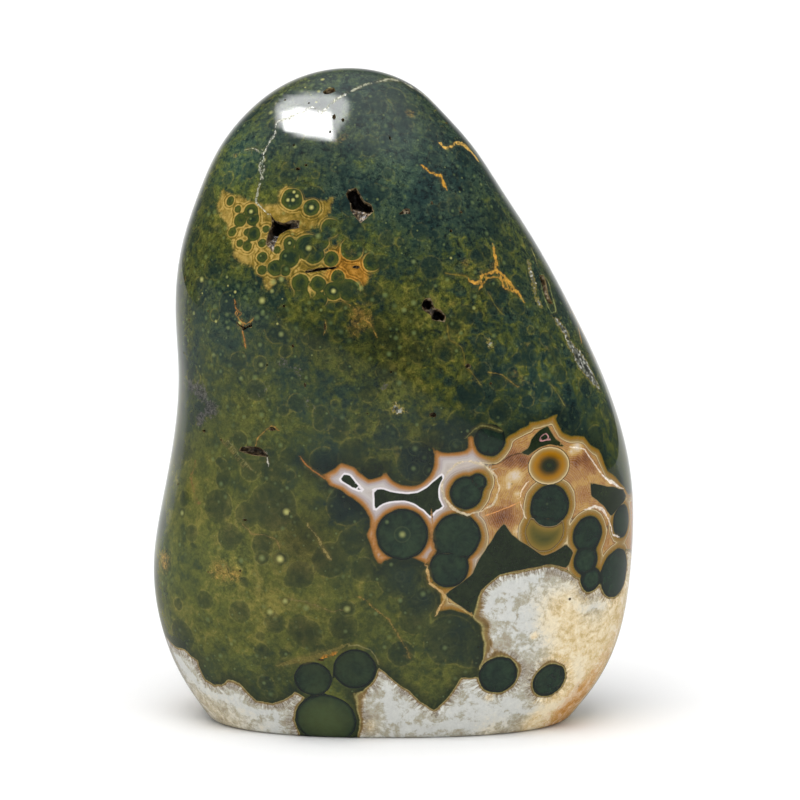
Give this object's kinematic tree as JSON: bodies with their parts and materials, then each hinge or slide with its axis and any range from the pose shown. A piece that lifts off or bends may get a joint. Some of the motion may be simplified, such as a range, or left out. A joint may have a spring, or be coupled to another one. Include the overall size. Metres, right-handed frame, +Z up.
{
  "type": "ocean jasper freeform",
  "caption": "Polished standing stone of orbicular jasper: a flat-footed, leaning-topped rounded slab, green with ringed orbs, banded agate and white quartz at its foot.",
  "frame": {"origin": "middle of the part's box, on the flat base", "axes": "+Z up the stone, -Y out of its best face, +X to that face's right"},
  "size_m": [0.1105, 0.0648, 0.15],
  "materials": {
    "polished_jasper": "mirror polished, orbicular: dark green with olive, ochre, orange, cream and white zones"
  },
  "bodies": {
    "root": {"jasper_stone": "polished_jasper"}
  },
  "joints": []
}
